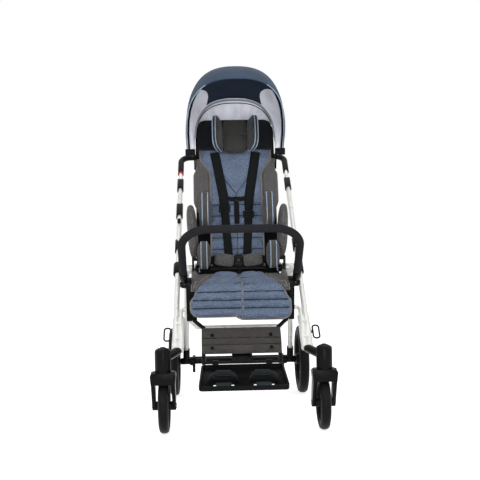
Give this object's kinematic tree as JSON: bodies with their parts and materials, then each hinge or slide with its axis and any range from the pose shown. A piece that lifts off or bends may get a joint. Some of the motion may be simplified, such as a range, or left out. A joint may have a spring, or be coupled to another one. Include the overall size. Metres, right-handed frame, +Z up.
{
  "type": "special needs buggy",
  "caption": "Folding special needs buggy: tube frame on casters and rear wheels, reclining padded seat with harness, headrest, canopy, front bar, legrest, footplate and push handle.",
  "frame": {"origin": "on the floor under the middle of the buggy", "axes": "+Z up; the buggy faces -Y; +X is to the right when seen from the front"},
  "size_m": [0.626, 1.0902, 1.3127],
  "materials": {
    "frame_white": "pearl white powder coat",
    "plastic_black": "fine textured black",
    "steel": "brushed",
    "tyre_black": "matt rubber",
    "rim_grey": "dark grey moulded",
    "foam_black": "matt closed-cell foam",
    "cloth_blue": "blue heather weave",
    "cloth_grey": "taupe melange",
    "cloth_dark": "dark grey spacer mesh",
    "cloth_black": "black fabric",
    "cloth_navy": "slate navy canopy cloth",
    "web_black": "black webbing",
    "accent_red": "red plastic"
  },
  "bodies": {
    "chassis": {"frame_tubes": "frame_white", "leg_sleeves": "frame_white", "caster_arms": "plastic_black", "pivot_brackets": "plastic_black", "pivot_pins": "steel", "side_plates": "plastic_black", "seat_rails": "plastic_black", "seat_tray": "plastic_black", "seat_base": "cloth_grey", "thigh_pad_left": "cloth_blue", "thigh_pad_right": "cloth_blue", "seat_bolsters": "cloth_grey", "hip_pads": "cloth_dark", "lap_belt": "cloth_grey", "crotch_strap": "web_black", "buckle_body": "plastic_black", "tie_loops": "plastic_black", "tube_clips": "plastic_black"},
    "button": {"buckle_button": "plastic_black"},
    "handle": {"push_handle": "frame_white", "handle_grip": "plastic_black", "lock_ring": "accent_red"},
    "rear_frame": {"rear_legs": "frame_white", "axle_blocks": "plastic_black", "rear_axle": "plastic_black"},
    "brake": {"brake_pedal": "plastic_black"},
    "rear_wheel_left": {"rear_rim_left": "rim_grey", "rear_tyre_left": "tyre_black"},
    "rear_wheel_right": {"rear_rim_right": "rim_grey", "rear_tyre_right": "tyre_black"},
    "caster_left": {"caster_fork_left": "plastic_black", "caster_axle_left": "steel"},
    "caster_right": {"caster_fork_right": "plastic_black", "caster_axle_right": "steel"},
    "caster_wheel_left": {"caster_rim_left": "rim_grey", "caster_tyre_left": "tyre_black"},
    "caster_wheel_right": {"caster_rim_right": "rim_grey", "caster_tyre_right": "tyre_black"},
    "backrest": {"back_shell": "plastic_black", "back_cushion": "cloth_blue", "back_wings": "cloth_grey", "side_guards": "cloth_grey", "upper_back_pad": "cloth_black", "lateral_pads": "cloth_dark", "shoulder_straps": "web_black", "canopy_brackets": "plastic_black", "canopy_rear": "cloth_navy"},
    "headrest": {"headrest_pads": "cloth_dark", "headrest_post": "steel"},
    "canopy": {"canopy_front": "cloth_navy", "canopy_bow": "plastic_black"},
    "front_bar": {"front_bar": "plastic_black", "bar_foam": "foam_black"},
    "legrest": {"legrest_frame": "plastic_black", "calf_pad": "cloth_dark"},
    "footplate": {"footplate": "plastic_black", "foot_straps": "web_black"}
  },
  "joints": [
    {"name": "frame_fold", "type": "hinge", "parent": "chassis", "child": "rear_frame", "pos_m": [0, -0.074, 0.53], "axis": [-1, 0, 0], "range_deg": [0, 45]},
    {"name": "recline", "type": "hinge", "parent": "chassis", "child": "backrest", "pos_m": [0, -0.074, 0.53], "axis": [-1, 0, 0], "range_deg": [-8, 18]},
    {"name": "handle_slide", "type": "slide", "parent": "chassis", "child": "handle", "axis": [0, 0.7891, 0.6143], "range_m": [-0.025, 0.06]},
    {"name": "front_bar_turn", "type": "hinge", "parent": "chassis", "child": "front_bar", "pos_m": [0, -0.24, 0.486], "axis": [-1, 0, 0], "range_deg": [-15, 25]},
    {"name": "legrest_raise", "type": "hinge", "parent": "chassis", "child": "legrest", "pos_m": [0, -0.224, 0.364], "axis": [-1, 0, 0], "range_deg": [0, 30]},
    {"name": "footplate_flip", "type": "hinge", "parent": "legrest", "child": "footplate", "pos_m": [0, -0.33714, 0.21386], "axis": [-1, 0, 0], "range_deg": [0, 75]},
    {"name": "canopy_fold", "type": "hinge", "parent": "backrest", "child": "canopy", "pos_m": [0, 0.0964, 0.98943], "axis": [-1, 0, 0], "range_deg": [0, 45]},
    {"name": "headrest_height", "type": "slide", "parent": "backrest", "child": "headrest", "axis": [0, 0.3535, 0.9354], "range_m": [-0.03, 0.045]},
    {"name": "caster_swivel_left", "type": "hinge", "parent": "chassis", "child": "caster_left", "pos_m": [-0.27, -0.494, 0.25], "axis": [0, 0, 1], "continuous": true},
    {"name": "caster_swivel_right", "type": "hinge", "parent": "chassis", "child": "caster_right", "pos_m": [0.27, -0.494, 0.25], "axis": [0, 0, 1], "continuous": true},
    {"name": "caster_spin_left", "type": "hinge", "parent": "caster_left", "child": "caster_wheel_left", "pos_m": [-0.27, -0.454, 0.092], "axis": [1, 0, 0], "continuous": true},
    {"name": "caster_spin_right", "type": "hinge", "parent": "caster_right", "child": "caster_wheel_right", "pos_m": [0.27, -0.454, 0.092], "axis": [1, 0, 0], "continuous": true},
    {"name": "rear_spin_left", "type": "hinge", "parent": "rear_frame", "child": "rear_wheel_left", "pos_m": [-0.262, 0.173, 0.138], "axis": [1, 0, 0], "continuous": true},
    {"name": "rear_spin_right", "type": "hinge", "parent": "rear_frame", "child": "rear_wheel_right", "pos_m": [0.262, 0.173, 0.138], "axis": [1, 0, 0], "continuous": true},
    {"name": "brake_press", "type": "hinge", "parent": "rear_frame", "child": "brake", "pos_m": [0, 0.173, 0.138], "axis": [-1, 0, 0], "range_deg": [0, 20]},
    {"name": "buckle_press", "type": "slide", "parent": "chassis", "child": "button", "axis": [0, 1, 0], "range_m": [0, 0.0025], "stiffness_N_per_m": 900}
  ]
}
